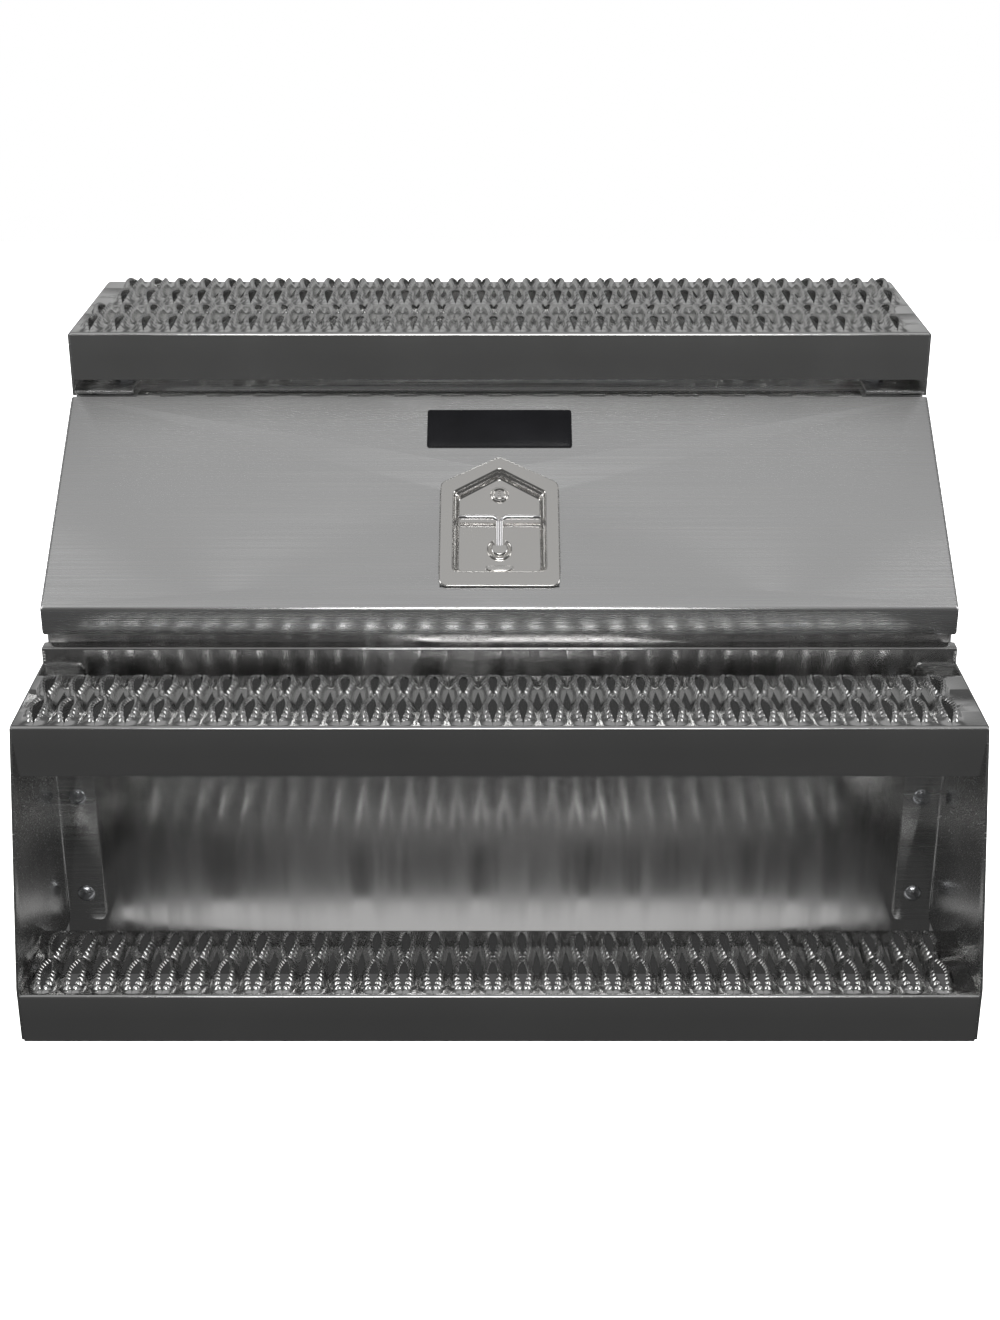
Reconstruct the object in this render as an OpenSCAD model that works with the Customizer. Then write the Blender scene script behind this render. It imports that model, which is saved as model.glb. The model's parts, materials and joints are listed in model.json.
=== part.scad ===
// Step tool box for a truck: a welded aluminium box under a tread deck, with two front steps,
// a sloping lift-up lid on a continuous hinge, gas struts and a folding T-handle latch.
// X runs across the truck side, Y from front to back, Z up. The origin is at the centre of the base.

/* [Overall] */
// Overall width across the steps, the lid and the deck
overall_w = 914.4; // [780:1:1200]
// Overall depth, from the lower step to the back panel
overall_d = 711.2; // [660:1:800]
// Height of the deck's walking surface
deck_z = 597.6; // [585:1:660]
// Thickness of the aluminium sheet
sheet = 2.5; // [2:0.1:3]

/* [Tread planks] */
// Depth of one tread plank
plank_d = 120.6; // [114:0.1:126]
// Height of a plank's channel sides
plank_h = 50.8; // [40:0.1:56]
// Spacing of the tread openings along a plank
tread_pitch = 28.575; // [24:0.1:34]
// How far the tread pattern's middle stands right of the box's middle
tread_shift = -6.4; // [-8:0.1:8]
// Width of one tread opening
eye_w = 13; // [8:0.5:16]
// Length of one tread opening
eye_l = 46; // [30:0.5:50]
// Height of the raised lip round each opening
lip_h = 12; // [6:0.5:14]
// Thickness of that lip
lip_t = 2.5; // [2:0.1:3]

/* [Steps] */
// Height of the lower step's underside above the base
step_base_z = 27.6; // [20:0.1:40]
// Height of the middle step's walking surface
middle_z = 326; // [300:1:330]
// How far the middle step's front stands behind the lower one's
middle_back = 72; // [50:1:90]
// Width of the bolting flanges on the step ends
flange_w = 40.5; // [32:0.5:50]
// Radius of the carriage bolts' shanks
bolt_r = 4.7; // [4:0.1:5]
// Radius of the carriage bolts' domed heads
bolt_head_r = 10.3; // [8:0.1:12]
// Spacing of the flange bolts up the flange
flange_bolt_pitch = 113.8; // [100:0.1:118]

/* [Body] */
// Depth of the box body
body_d = 485.2; // [470:0.1:500]
// Depth of the sill in front of the door opening
sill_d = 15; // [12:0.5:18]
// Gap between the body's top and the underside of the deck planks
deck_gap = 17.3; // [12:0.1:24]
// Width of the deck brackets' feet
foot_w = 65; // [50:1:75]
// Thickness of the deck brackets' feet
foot_t = 4.8; // [3:0.1:6]

/* [Lid] */
// Slope of the lid from horizontal
lid_slope = 33.6; // [32:0.1:36]
// How far the lid's top edge stands in front of the deck
lid_front_of_deck = 9; // [8.5:0.1:12]
// How far the lid's lower edge stands behind the front wall
lid_setback = 7; // [5:0.5:8]
// Height of the lid's front flange
lid_flange_h = 28; // [24:0.5:32]
// Gap under the lid's front flange
lid_gap = 11.5; // [8:0.5:14]
// Running gap between the lid's side flanges and the body
lid_side_gap = 1.1; // [0.8:0.1:2]
// Height of the door seal
seal_h = 8; // [6:0.5:9]
// Width of the door seal
seal_w = 8; // [6:0.5:10]
// How far the lid opens, in degrees
lid_open = 75; // [60:1:80]

/* [Hinge] */
// Radius of the hinge knuckles
knuckle_r = 3; // [2.8:0.1:3.2]
// Radius of the hinge pin
pin_r = 1.5; // [1.2:0.1:1.6]
// Length of the continuous hinge
hinge_l = 775; // [600:25:775]
// Length of one hinge knuckle
knuckle_l = 25; // [20:1:31]
// Thickness of the hinge leaves
leaf_t = 1.5; // [1.2:0.1:1.6]

/* [Latch] */
// Width of the latch's face flange
latch_w = 122; // [116:1:128]
// Width of the latch's recess
pan_w = 93.6; // [90:0.2:98]
// Depth of the latch's recess
pan_depth = 20; // [18:0.5:22]
// Distance of the latch's spindle down the lid from its top edge
spindle_s = 196; // [192:1:200]
// Distance of the lock down the lid from its top edge
lock_s = 126; // [122:1:130]
// Radius of the latch's round hub
hub_r = 13; // [11:0.5:14]
// Length of the T-handle's bar
handle_l = 84; // [70:1:86]
// Diameter of the T-handle's bar
handle_d = 4.4; // [4:0.1:5]
// Distance of the T-handle's bar from its pivot
handle_reach = 38; // [36:0.5:40]

/* [Gas struts] */
// Distance of the strut's stud down the lid from its top edge
stud_s = 60; // [55:1:66]
// Depth of that stud under the lid's face
stud_n = 20; // [18:0.5:24]
// Distance of the strut's lower stud in front of the box's back
strut_base_in = 261.2; // [250:0.1:272]
// Height of the lid's top edge above the strut's lower stud
strut_drop = 291; // [280:1:300]
// Distance of the strut's centre line from the overall side
strut_inset = 52.2; // [50:0.1:56]
// Radius of the strut's cylinder
tube_r = 7.5; // [7:0.1:9]
// Radius of the strut's rod
rod_r = 4; // [3:0.1:4.5]

/* [Label] */
// Width of the blank name plate
label_w = 152.4; // [100:0.1:180]
// Height of the blank name plate
label_h = 50.8; // [30:0.1:51]
// Distance of the name plate down the lid from its top edge
label_s = 19; // [10:0.5:20]

/* [Hidden] */
$fn = 48;
half_w = overall_w / 2;
fit = 0.05;                                   // radial clearance of every running fit
// planks, steps and deck
inner_w = half_w - sheet;                     // inner faces of the end plates
deck_front = overall_d - 2 * plank_d;
deck_base = deck_z - plank_h;
end_top = middle_z - 1.5;                     // top edge of the step ends
tread_margin = 20;                            // least flat metal beside the outer openings
columns = 1 + floor((2 * inner_w - 2 * tread_margin) / tread_pitch);
flange_bolt_x = half_w - 22.2;
flange_bolt_z = step_base_z + 32.2;           // lowest pair of flange bolts
deck_bolt_x = half_w - 51.2;
deck_bolt_end = 35;                           // from the deck's edges to its bolts
nut_r = 8.2;
nut_h = 8;
washer_r = 10.5;
washer_t = 1.6;
bolt_tail = 14;                               // thread left past the sheet
hole_gap = 0.3;                               // radial clearance of a bolt in its hole
// body
body_top = deck_base - deck_gap;
wall_y = overall_d - body_d;
side_x = half_w - sheet - lid_side_gap;       // outer faces of the side panels
side_in = side_x - sheet;
back_y = overall_d - sheet;
sill_back = wall_y + sill_d;
// lid
lid_top_y = deck_front - lid_front_of_deck;
lid_top_z = body_top + leaf_t;
lid_front_y = wall_y + lid_setback;
lid_l = (lid_top_y - lid_front_y) / cos(lid_slope);
lid_front_z = lid_top_z - lid_l * sin(lid_slope);
sill_z = lid_front_z - lid_flange_h - lid_gap;
flange_run = lid_flange_h * sin(lid_slope);   // the front flange in the lid's own axes
flange_drop = lid_flange_h * cos(lid_slope);
seal_gap = 0.3;
frame_n = sheet + seal_gap + seal_h;          // top of the opening frame below the lid's outer face
frame_side_w = 22;
frame_head_s = 40;
frame_foot_s = lid_l - 2.7;
frame_foot_w = 22;
seal_in = 4;                                  // from the frame's inner edge to the seal
hat_s = 48;                                   // the lid's stiffener, down from its top edge
hat_d = 14;
hat_t = 1.5;
hat_l = hinge_l - 40;
label_t = 0.8;
// hinge
hinge_y = lid_top_y + 5.5;
hinge_z = body_top - knuckle_r + leaf_t - 0.2;
leaf_w = 23;
top_front = hinge_y + knuckle_r + 1;
// the opening frame's head, up the lid's slope to just short of the top panel's front lip
frame_top = (top_front - lid_top_y - (frame_n + sheet) * sin(lid_slope)) / cos(lid_slope) - 0.57;
knuckles = floor(hinge_l / knuckle_l);
// struts
strut_x = half_w - strut_inset;
stud_y = lid_top_y - stud_s * cos(lid_slope) + stud_n * sin(lid_slope);
stud_z = lid_top_z - stud_s * sin(lid_slope) - stud_n * cos(lid_slope);
strut_base_y = overall_d - strut_base_in;
strut_base_z = lid_top_z - strut_drop;
strut_dy = stud_y - strut_base_y;
strut_dz = stud_z - strut_base_z;
strut_l = norm([strut_dy, strut_dz]);
strut_tilt = atan2(-strut_dy, strut_dz);
eye_r = 8;
eye_half = 5.5;
stud_r = 4;
tube_l = 0.56 * strut_l;
// latch
pan_t = 1.2;
gasket_t = 1;
pan_face = gasket_t + 1.5;
pan_apex = spindle_s - 96.6;
pan_shoulder = spindle_s - 66.6;
pan_foot = spindle_s + 33;
latch_apex = pan_apex - 16.5;
latch_shoulder = pan_shoulder - 12;
latch_foot = pan_foot + 19;
pivot_n = -11;
handle_rise = asin((-1.5 - pivot_n) / handle_reach);
cam_n = -30;
cam_reach = 38;
keeper_s = spindle_s + cam_reach + 2.5;

// ---- helpers ----
// puts the front of the steps, the origin of every Y size, half the depth in front of the frame's origin
module place() translate([0, -overall_d / 2, 0]) children();
// a side profile [y, z] drawn out across the box, from x0 to x1
module across(x0, x1, points)
    translate([x0, 0, 0]) rotate([90, 0, 90]) linear_extrude(x1 - x0) polygon(points);
module box(x0, x1, y0, y1, z0, z1) translate([x0, y0, z0]) cube([x1 - x0, y1 - y0, z1 - z0]);
// the lid's own axes: x across, -y down the slope from the lid's top edge, z out of its face
module on_lid() translate([0, lid_top_y, lid_top_z]) rotate([lid_slope, 0, 0]) children();
// a point on the lid plane, s down the slope and n out of the face, as [y, z]
function lid_point(s, n) = [lid_top_y - s * cos(lid_slope) - n * sin(lid_slope),
                            lid_top_z - s * sin(lid_slope) + n * cos(lid_slope)];
// the distance down the slope at which depth n under the face reaches y
function lid_s(y, n) = (lid_top_y - n * sin(lid_slope) - y) / cos(lid_slope);
function lid_z(y, n) = lid_point(lid_s(y, n), n)[1];
module rod_x(r, x0, x1) translate([x0, 0, 0]) rotate([0, 90, 0]) cylinder(r = r, h = x1 - x0);
module rod_y(r, y0, y1) translate([0, y0, 0]) rotate([-90, 0, 0]) cylinder(r = r, h = y1 - y0);
module hex(r, h) cylinder(r = r, h = h, $fn = 6);
module house(w, apex, shoulder, foot)
    polygon([[-w / 2, -foot], [w / 2, -foot], [w / 2, -shoulder], [0, -apex], [-w / 2, -shoulder]]);

// ---- tread planks ----
module eye_outline(grow)
    polygon([for (a = [0:45:315]) [(eye_w / 2 + grow) * sin(a) * (abs(cos(a)) > 0.9 ? 0 : 1),
                                   (eye_l / 2 + grow * 1.5) * cos(a) * (abs(sin(a)) > 0.9 ? 0 : 0.5
                                    + 0.5 * abs(cos(a)))]]);
module eyes(shift, grow)
    for (i = [0:columns - 1], row = [-1, 1])
        translate([(i - (columns - 1) / 2) * tread_pitch + shift, row * plank_d / 4.4])
            eye_outline(grow);
module plank(front, top, shift) {
    mid = front + plank_d / 2;
    translate([0, mid, top - sheet]) linear_extrude(sheet) difference() {
        square([2 * inner_w, plank_d], center = true);
        eyes(shift, 0);
    }
    translate([0, mid, top]) linear_extrude(lip_h) difference() {
        eyes(shift, lip_t);
        eyes(shift, 0);
    }
    box(-inner_w, inner_w, front, front + sheet, top - plank_h, top - sheet);
    box(-inner_w, inner_w, front + plank_d - sheet, front + plank_d, top - plank_h, top - sheet);
}
module lower_step_plank()
    color("darkgray") place() plank(0, step_base_z + plank_h, tread_shift);
module middle_step_plank()
    color("darkgray") place() plank(middle_back, middle_z, tread_shift);
module deck_plank_front()
    color("darkgray") place() plank(deck_front, deck_z, tread_shift);
module deck_plank_rear()
    color("darkgray") place()
        plank(deck_front + plank_d, deck_z, tread_shift + tread_pitch / 2);

// ---- step ends and their fasteners ----
module at_flange_bolts()
    for (side = [-1, 1], i = [0:2])
        translate([side * flange_bolt_x, 0, flange_bolt_z + i * flange_bolt_pitch]) children();
module step_end() difference() {
    union() {
        across(inner_w, half_w, [[0, step_base_z], [wall_y, step_base_z], [wall_y, end_top],
                                 [middle_back + 3, end_top], [0, step_base_z + plank_h + 7]]);
        box(half_w - flange_w, inner_w, wall_y - sheet, wall_y, step_base_z, end_top);
    }
    at_flange_bolts() rod_y(bolt_r + hole_gap, wall_y - sheet - 1, wall_y + 1);
}
module step_end_right() color("gainsboro") place() step_end();
module step_end_left() color("gainsboro") place() mirror([1, 0, 0]) step_end();
module flange_bolts() color("silver") place() at_flange_bolts() {
    intersection() {
        translate([0, wall_y - sheet + bolt_head_r - 4.2, 0]) sphere(r = 13.5 * bolt_head_r / 12.4);
        rod_y(bolt_head_r, wall_y - sheet - 6, wall_y - sheet);
    }
    rod_y(bolt_r, wall_y - sheet, wall_y + sheet + bolt_tail);
}
module flange_nuts() color("gray") place() at_flange_bolts() translate([0, wall_y + sheet, 0])
    difference() {
        union() {
            rod_y(washer_r, 0, washer_t);
            rotate([-90, 0, 0]) translate([0, 0, washer_t]) hex(nut_r, nut_h);
        }
        rod_y(bolt_r, -1, washer_t + nut_h + 1);
    }

// ---- deck brackets ----
module at_deck_bolts()
    for (side = [-1, 1], y = [deck_front + deck_bolt_end, overall_d - deck_bolt_end])
        translate([side * deck_bolt_x, y, 0]) children();
module deck_bracket() difference() {
    union() {
        box(inner_w, half_w, deck_front, overall_d, body_top, deck_z - 1.5);
        box(half_w - foot_w, inner_w, deck_front, overall_d, body_top, body_top + foot_t);
    }
    at_deck_bolts() translate([0, 0, body_top - 1]) cylinder(r = bolt_r + hole_gap, h = foot_t + 2);
}
module deck_bracket_right() color("gainsboro") place() deck_bracket();
module deck_bracket_left() color("gainsboro") place() mirror([1, 0, 0]) deck_bracket();
module deck_bolts() color("silver") place() at_deck_bolts() {
    translate([0, 0, body_top + foot_t]) cylinder(r = washer_r, h = washer_t);
    translate([0, 0, body_top + foot_t + washer_t]) hex(nut_r, 6);
    translate([0, 0, body_top - sheet - bolt_tail])
        cylinder(r = bolt_r, h = sheet + bolt_tail + foot_t);
}
module deck_nuts() color("gray") place() at_deck_bolts()
    difference() {
        union() {
            translate([0, 0, body_top - sheet - washer_t]) cylinder(r = washer_r, h = washer_t);
            translate([0, 0, body_top - sheet - washer_t - nut_h]) hex(nut_r, nut_h);
        }
        translate([0, 0, body_top - sheet - bolt_tail]) cylinder(r = bolt_r, h = bolt_tail + 1);
    }

// ---- body ----
module side_panel() across(side_in, side_x,
    [[wall_y + sheet, 0], [back_y, 0], [back_y, body_top - sheet], [top_front, body_top - sheet],
     [top_front, lid_z(top_front, -frame_n)], [sill_back, lid_z(sill_back, -frame_n)],
     [sill_back, sill_z - sheet], [wall_y + sheet, sill_z - sheet]]);
module side_panel_right() color("lightgray") place() side_panel();
module side_panel_left() color("lightgray") place() mirror([1, 0, 0]) side_panel();
module floor_panel() color("lightgray") place()
    box(-side_in, side_in, wall_y + sheet, back_y, 0, sheet);
module back_panel() color("lightgray") place()
    box(-half_w, half_w, back_y, overall_d, 0, body_top);
module top_panel() color("lightgray") place() difference() {
    union() {
        box(-side_x, side_x, top_front, back_y, body_top - sheet, body_top);
        box(-side_in, side_in, top_front, top_front + sheet, body_top - 24, body_top - sheet);
    }
    at_deck_bolts() translate([0, 0, body_top - sheet - 1])
        cylinder(r = bolt_r + hole_gap, h = sheet + 2);
}
module front_wall() color("lightgray") place() difference() {
    upstand_z = lid_point(frame_foot_s, -frame_n - sheet)[1] - 0.6;
    union() {
        box(-half_w, half_w, wall_y, wall_y + sheet, 0, sill_z);
        box(-half_w, half_w, wall_y, sill_back, sill_z - sheet, sill_z);
        box(-side_in, side_in, sill_back, sill_back + sheet, sill_z - sheet, upstand_z);
    }
    at_flange_bolts() rod_y(bolt_r + hole_gap, wall_y - 1, wall_y + sheet + 1);
}
module opening_frame() color("darkgray") place() on_lid()
    translate([0, 0, -frame_n - sheet]) linear_extrude(sheet) difference() {
        translate([-side_in, -frame_foot_s]) square([2 * side_in, frame_foot_s + frame_top]);
        translate([-side_in + frame_side_w, -frame_foot_s + frame_foot_w])
            square([2 * (side_in - frame_side_w), frame_foot_s - frame_foot_w - frame_head_s]);
    }
module door_seal() color("black") place() on_lid() translate([0, 0, -frame_n]) {
    out_x = side_in - frame_side_w + seal_in + seal_w;
    head = frame_head_s - seal_in - seal_w;
    foot = frame_foot_s - frame_foot_w + seal_in + seal_w;
    linear_extrude(seal_h) difference() {
        translate([-out_x, -foot]) square([2 * out_x, foot - head]);
        translate([-out_x + seal_w, -foot + seal_w])
            square([2 * (out_x - seal_w), foot - head - 2 * seal_w]);
    }
}
// an angle under the frame's lower bar, which the cam closes behind
module latch_keeper() color("silver") place() on_lid() {
    bar_s = frame_foot_s - frame_foot_w;
    box(-22, 22, -bar_s - 14, -bar_s, -frame_n - sheet - 2, -frame_n - sheet);
    box(-22, 22, -bar_s - 2, -bar_s, -frame_n - sheet - 9, -frame_n - sheet - 2);
    box(-22, 22, -bar_s - 2, -keeper_s, -frame_n - sheet - 11, -frame_n - sheet - 9);
}

// ---- hinge ----
module at_knuckles(first)
    for (i = [first:2:knuckles - 1])
        translate([-hinge_l / 2 + i * knuckle_l, 0, 0]) children();
module knuckle() difference() {
    rod_x(knuckle_r, 0.2, knuckle_l - 0.2);
    rod_x(pin_r + fit, 0, knuckle_l);
}
module hinge_leaf_body() color("silver") place() {
    difference() {
        box(-hinge_l / 2, hinge_l / 2, hinge_y, hinge_y + leaf_w, body_top, body_top + leaf_t);
        at_knuckles(1)
            box(-0.2, knuckle_l + 0.2, hinge_y - 1, hinge_y + knuckle_r + 0.8, body_top - 1,
                body_top + leaf_t + 1);
        translate([0, hinge_y, hinge_z]) rod_x(pin_r + 1, -hinge_l, hinge_l);
    }
    at_knuckles(0) translate([0, hinge_y, hinge_z]) knuckle();
}
module hinge_pin() color("gray") place()
    translate([0, hinge_y, hinge_z]) rod_x(pin_r, -hinge_l / 2 - 1, hinge_l / 2 + 1);
module hinge_leaf_lid() color("silver") place() {
    difference() {
        on_lid() box(-hinge_l / 2, hinge_l / 2, -leaf_w, 3, -sheet - leaf_t, -sheet);
        at_knuckles(0) on_lid()
            box(-0.2, knuckle_l + 0.2, -1.2, 4, -sheet - leaf_t - 1, -sheet + 1);
        on_lid() translate([-hinge_l / 2 + (knuckles - (knuckles % 2 == 0 ? 0 : 1)) * knuckle_l, 0, 0])
            box(0, 2 * knuckle_l, -1.2, 4, -sheet - leaf_t - 1, -sheet + 1);
        translate([0, hinge_y, hinge_z]) rod_x(pin_r + 0.2, -hinge_l, hinge_l);
    }
    at_knuckles(1) translate([0, hinge_y, hinge_z]) knuckle();
}

// ---- lid ----
module lid_shell() color("lightgray") place() on_lid() {
    difference() {
        union() {
            box(-half_w, half_w, -lid_l, 0, -sheet, 0);
            across(-half_w, half_w, [[-lid_l, 0], [-lid_l - flange_run, -flange_drop],
                [-lid_l - flange_run + sheet * cos(lid_slope), -flange_drop - sheet * sin(lid_slope)],
                [-lid_l + sheet * cos(lid_slope), -sheet * sin(lid_slope)]]);
        }
        translate([0, 0, -sheet - 1]) linear_extrude(sheet + 2)
            house(pan_w + 2 * pan_t + 1, pan_apex - pan_t - 0.6, pan_shoulder - pan_t / 2,
                  pan_foot + pan_t + 0.5);
    }
    for (x = [-half_w, half_w - sheet])
        across(x, x + sheet, [[0, -sheet], [-lid_l, -sheet], [-lid_l - flange_run + 3, -flange_drop + 3],
                              [-lid_l - flange_run + 8, -flange_drop], [0, -flange_drop]]);
}
// a hat section across the inside of the lid, above the latch
module lid_stiffener() color("gray") place() on_lid() {
    top = -sheet;
    low = top - hat_t;
    across(-hat_l / 2, hat_l / 2,
        [[-hat_s, top], [-hat_s - 8, top], [-hat_s - 10, -hat_d], [-hat_s - 22, -hat_d],
         [-hat_s - 24, top], [-hat_s - 32, top], [-hat_s - 32, low], [-hat_s - 25.4, low],
         [-hat_s - 23.4, -hat_d - hat_t], [-hat_s - 8.6, -hat_d - hat_t], [-hat_s - 6.6, low],
         [-hat_s, low]]);
}
module name_plate() color("black") place() on_lid()
    box(-label_w / 2, label_w / 2, -label_s - label_h, -label_s, 0, label_t);

// ---- latch ----
module latch_gasket() color("dimgray") place() on_lid() linear_extrude(gasket_t) difference() {
    house(latch_w - 2, latch_apex + 1, latch_shoulder + 0.5, latch_foot - 1);
    house(pan_w + 2 * pan_t + 1, pan_apex - pan_t - 0.6, pan_shoulder - pan_t / 2, pan_foot + pan_t + 0.5);
}
module latch_pan() color("whitesmoke") place() on_lid() {
    translate([0, 0, gasket_t]) linear_extrude(pan_face - gasket_t) difference() {
        house(latch_w, latch_apex, latch_shoulder, latch_foot);
        house(pan_w, pan_apex, pan_shoulder, pan_foot);
    }
    translate([0, 0, -pan_depth]) linear_extrude(pan_depth + gasket_t) difference() {
        house(pan_w + 2 * pan_t, pan_apex - pan_t, pan_shoulder - pan_t / 2, pan_foot + pan_t);
        house(pan_w, pan_apex, pan_shoulder, pan_foot);
    }
    difference() {
        translate([0, 0, -pan_depth]) linear_extrude(pan_t)
            house(pan_w, pan_apex, pan_shoulder, pan_foot);
        translate([0, -spindle_s, -pan_depth - 1]) cylinder(r = 6 + fit, h = 4);
        translate([0, -lock_s, -pan_depth - 1]) cylinder(r = 8.6, h = 4);
    }
}
module lock_case() color("silver") place() on_lid() translate([0, -lock_s, 0]) difference() {
    union() {
        translate([0, 0, -pan_depth + pan_t]) cylinder(r = 9.6, h = 2.4);
        translate([0, 0, -pan_depth - 12]) cylinder(r = 8.5, h = 12 + pan_t);
    }
    translate([0, 0, -pan_depth - 13]) cylinder(r = 5.8 + fit, h = 20);
}
module lock_plug() color("gray") place() on_lid() translate([0, -lock_s, 0]) {
    difference() {
        translate([0, 0, -pan_depth - 12]) cylinder(r = 5.8, h = 12 + pan_t + 2);
        box(-0.6, 0.6, -3.6, 3.6, -pan_depth + pan_t - 4, -pan_depth + pan_t + 3);
    }
    box(-3, 3, -11, 4, -pan_depth - 14.5, -pan_depth - 12);
}
pivot_eye_r = 3.2;
module latch_spindle() color("silver") place() on_lid() translate([0, -spindle_s, 0]) difference() {
    union() {
        translate([0, 0, -pan_depth + pan_t + 0.2]) cylinder(r = hub_r, h = pan_depth - pan_t - 7.2);
        translate([0, 0, cam_n - 10]) cylinder(r = 6, h = -cam_n + 10 - pan_depth + pan_t + 0.2);
    }
    box(-3.3, 3.3, -pivot_eye_r - 0.4, hub_r + 1, pivot_n - pivot_eye_r - 0.3, 0);
    translate([0, 0, pivot_n]) rod_x(1.5, -hub_r, hub_r);
}
module handle_pin() color("gray") place() on_lid()
    translate([0, -spindle_s, pivot_n]) rod_x(1.5, -10.5, 10.5);
module latch_cam() color("silver") place() on_lid() translate([0, -spindle_s, cam_n]) difference() {
    union() {
        cylinder(r = 10, h = 3);
        box(-9, 9, -cam_reach, 0, 0, 3);
        translate([0, 0, 3]) cylinder(r = 9, h = -pan_depth - 0.4 - cam_n - 3);
    }
    translate([0, 0, -1]) cylinder(r = 6, h = 20);
}
module latch_nut() color("gray") place() on_lid() translate([0, -spindle_s, cam_n - 6]) difference() {
    hex(10.4, 6);
    translate([0, 0, -1]) cylinder(r = 6, h = 8);
}
module t_handle() color("silver") place() on_lid()
    translate([0, -spindle_s, pivot_n]) rotate([handle_rise, 0, 0]) {
        difference() {
            union() {
                rod_x(pivot_eye_r, -3, 3);
                box(-3, 3, 0, handle_reach, -2, 2);
            }
            rod_x(1.5 + fit, -4, 4);
        }
        translate([0, handle_reach, 0]) rod_x(handle_d / 2, -handle_l / 2, handle_l / 2);
    }

// ---- gas struts ----
// the strut's own axes: z along it from the lower stud
module along_strut()
    translate([strut_x, strut_base_y, strut_base_z]) rotate([strut_tilt, 0, 0]) children();
tab_x = eye_half + 1.5;
module strut_bracket_body() translate([strut_x, strut_base_y, strut_base_z]) {
    box(side_in - strut_x - 2.5, side_in - strut_x, -22, 22, -30, 10);
    box(tab_x, side_in - strut_x - 2.5, -15, 15, -14.5, -12);
    box(tab_x, tab_x + 2.5, -15, 15, -12, 10);
    rod_x(stud_r, -eye_half - 1, tab_x);
    rod_x(stud_r + 2.5, eye_half + 0.3, tab_x);
}
module strut_bracket_lid() on_lid() {
    box(strut_x + tab_x, strut_x + tab_x + 15, -stud_s - 13, -stud_s + 13, -sheet - 2, -sheet);
    box(strut_x + tab_x, strut_x + tab_x + 2, -stud_s - 9, -stud_s + 9, -stud_n - 9, -sheet - 2);
    translate([strut_x, -stud_s, -stud_n]) rod_x(stud_r + 1.5, eye_half + 0.5, tab_x);
}
module strut_cylinder() along_strut() difference() {
    union() {
        rod_x(eye_r, -eye_half, eye_half);
        translate([0, 0, 5]) cylinder(r = 5, h = 10);
        translate([0, 0, 14]) cylinder(r = tube_r, h = tube_l);
    }
    rod_x(stud_r + fit, -eye_half - 1, eye_half + 1);
    translate([0, 0, 17]) cylinder(r = tube_r - 1.2, h = tube_l - 9);
    translate([0, 0, 17]) cylinder(r = rod_r + fit, h = tube_l);
}
module strut_rod() along_strut() {
    translate([0, 0, 19]) cylinder(r = tube_r - 1.2 - fit, h = 6);
    translate([0, 0, 25]) cylinder(r = rod_r, h = strut_l - 25 - eye_r + 1);
    translate([0, 0, strut_l]) difference() {
        rod_x(eye_r, -eye_half, eye_half);
        rod_x(stud_r, -eye_half - 1, eye_half + 1);
    }
}
module strut_bracket_body_right() color("gray") place() strut_bracket_body();
module strut_bracket_body_left() color("gray") place() mirror([1, 0, 0]) strut_bracket_body();
module strut_bracket_lid_right() color("gray") place() strut_bracket_lid();
module strut_bracket_lid_left() color("gray") place() mirror([1, 0, 0]) strut_bracket_lid();
module strut_cylinder_right() color("black") place() strut_cylinder();
module strut_cylinder_left() color("black") place() mirror([1, 0, 0]) strut_cylinder();
module strut_rod_right() color("silver") place() strut_rod();
module strut_rod_left() color("silver") place() mirror([1, 0, 0]) strut_rod();

side_panel_left();
side_panel_right();
floor_panel();
back_panel();
top_panel();
front_wall();
opening_frame();
door_seal();
step_end_left();
step_end_right();
lower_step_plank();
middle_step_plank();
deck_plank_front();
deck_plank_rear();
deck_bracket_left();
deck_bracket_right();
flange_bolts();
flange_nuts();
deck_bolts();
deck_nuts();
hinge_leaf_body();
hinge_pin();
hinge_leaf_lid();
lid_shell();
lid_stiffener();
name_plate();
latch_gasket();
latch_pan();
lock_case();
lock_plug();
latch_spindle();
handle_pin();
latch_cam();
latch_nut();
t_handle();
latch_keeper();
strut_bracket_body_left();
strut_bracket_body_right();
strut_bracket_lid_left();
strut_bracket_lid_right();
strut_cylinder_left();
strut_cylinder_right();
strut_rod_left();
strut_rod_right();
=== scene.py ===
"""Looks of a step tool box for a truck: pressed tread planks, folded aluminium sheet, a brushed
lid with a polished folding T-handle latch, gas struts, hinge and seal, on a pale studio floor."""

import collections
import json
import math
import random

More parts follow.
